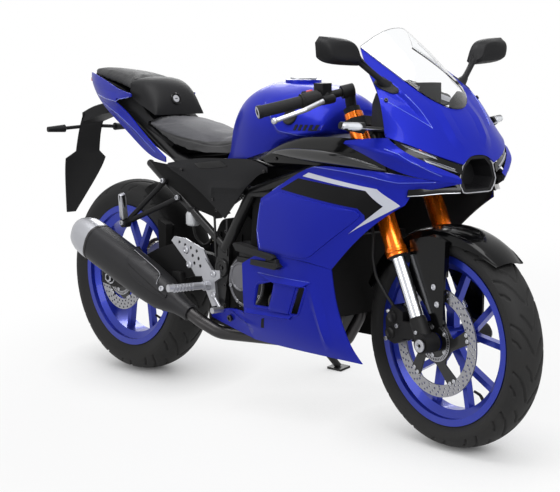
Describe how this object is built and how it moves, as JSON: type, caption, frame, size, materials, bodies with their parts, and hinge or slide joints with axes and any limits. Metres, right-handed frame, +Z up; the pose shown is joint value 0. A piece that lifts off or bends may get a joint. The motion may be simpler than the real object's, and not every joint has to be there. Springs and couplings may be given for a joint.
{
  "type": "sport motorcycle",
  "caption": "Full-faired sport motorcycle leaning on its side stand, with turning wheels, steering that swings both ways, a folding stand and a hinged fuel lid.",
  "frame": {"origin": "on the ground, under the middle of the whole machine's upright box", "axes": "+X forward, +Y to the rider's left, +Z up; the machine leans 10 degrees towards +Y"},
  "size_m": [2.0843, 0.766, 1.134],
  "materials": {
    "blue_paint": "gloss",
    "blue_metal": "gloss",
    "tyre_rubber": "matte",
    "soft_rubber": "matte",
    "gold_anodised": "satin",
    "bright_chrome": "polished",
    "cast_alloy": "satin",
    "black_metal": "satin",
    "black_plastic": "matte",
    "gloss_black": "gloss",
    "disc_steel": "brushed",
    "chain_steel": "oiled",
    "engine_alloy": "matte",
    "seat_cover": "matte",
    "clear_screen": "clear",
    "lamp_lens": "clear",
    "red_lens": "clear"
  },
  "bodies": {
    "chassis": {"belly_fairings": "blue_paint", "chain": "chain_steel", "engine": "engine_alloy", "exhaust_pipe": "black_metal", "footrests": "cast_alloy", "front_cowl": "blue_paint", "front_signals": "lamp_lens", "fuel_tank": "blue_metal", "headlights": "lamp_lens", "inner_fairing": "black_plastic", "main_frame": "black_metal", "mirrors": "black_plastic", "muffler": "black_metal", "nose_duct": "gloss_black", "passenger_footrests": "black_metal", "pillion_seat": "seat_cover", "plate_bracket": "black_plastic", "radiator": "black_metal", "rear_caliper": "black_metal", "rear_mudguard": "black_plastic", "rear_signals": "black_plastic", "rider_seat": "seat_cover", "seat_hump": "black_plastic", "shock": "black_metal", "side_covers": "black_plastic", "side_fairings": "blue_paint", "stand_bracket": "black_metal", "swingarm": "black_metal", "tail_core": "black_plastic", "tail_light": "red_lens", "tail_wings": "blue_paint", "upper_covers": "black_plastic", "windscreen": "clear_screen"},
    "steering": {"fork_outers": "gold_anodised", "fork_inners": "bright_chrome", "fork_feet": "black_metal", "triple_clamps": "black_metal", "handlebars": "black_metal", "hand_grips": "soft_rubber", "hand_controls": "black_plastic", "hand_levers": "cast_alloy", "front_fender": "gloss_black", "front_caliper": "black_metal", "brake_hose": "soft_rubber"},
    "front_wheel": {"front_rim": "blue_metal", "front_tyre": "tyre_rubber", "front_disc": "disc_steel"},
    "rear_wheel": {"rear_rim": "blue_metal", "rear_tyre": "tyre_rubber", "rear_disc": "disc_steel", "rear_sprocket": "disc_steel"},
    "side_stand": {"side_stand": "black_metal"},
    "fuel_lid": {"fuel_lid": "cast_alloy"}
  },
  "joints": [
    {"name": "steering_turn", "type": "hinge", "parent": "chassis", "child": "steering", "pos_m": [0.51942, -0.04039, 0.68899], "axis": [-0.4226, 0.1574, 0.8925], "range_deg": [-30, 38]},
    {"name": "front_wheel_spin", "type": "hinge", "parent": "steering", "child": "front_wheel", "pos_m": [0.74975, -0.11329, 0.2907], "axis": [0.0632, 0.9875, -0.1442], "continuous": true},
    {"name": "rear_wheel_spin", "type": "hinge", "parent": "chassis", "child": "rear_wheel", "pos_m": [-0.63016, -0.10705, 0.31096], "axis": [0, 0.9848, -0.1736], "continuous": true},
    {"name": "side_stand_swing", "type": "hinge", "parent": "chassis", "child": "side_stand", "pos_m": [-0.07017, 0.03952, 0.23232], "axis": [0, 0.9848, -0.1736], "range_deg": [0, 100]},
    {"name": "fuel_lid_hinge", "type": "hinge", "parent": "chassis", "child": "fuel_lid", "pos_m": [0.19884, 0.00693, 0.95739], "axis": [0, 0.9848, -0.1736], "range_deg": [0, 95]}
  ]
}
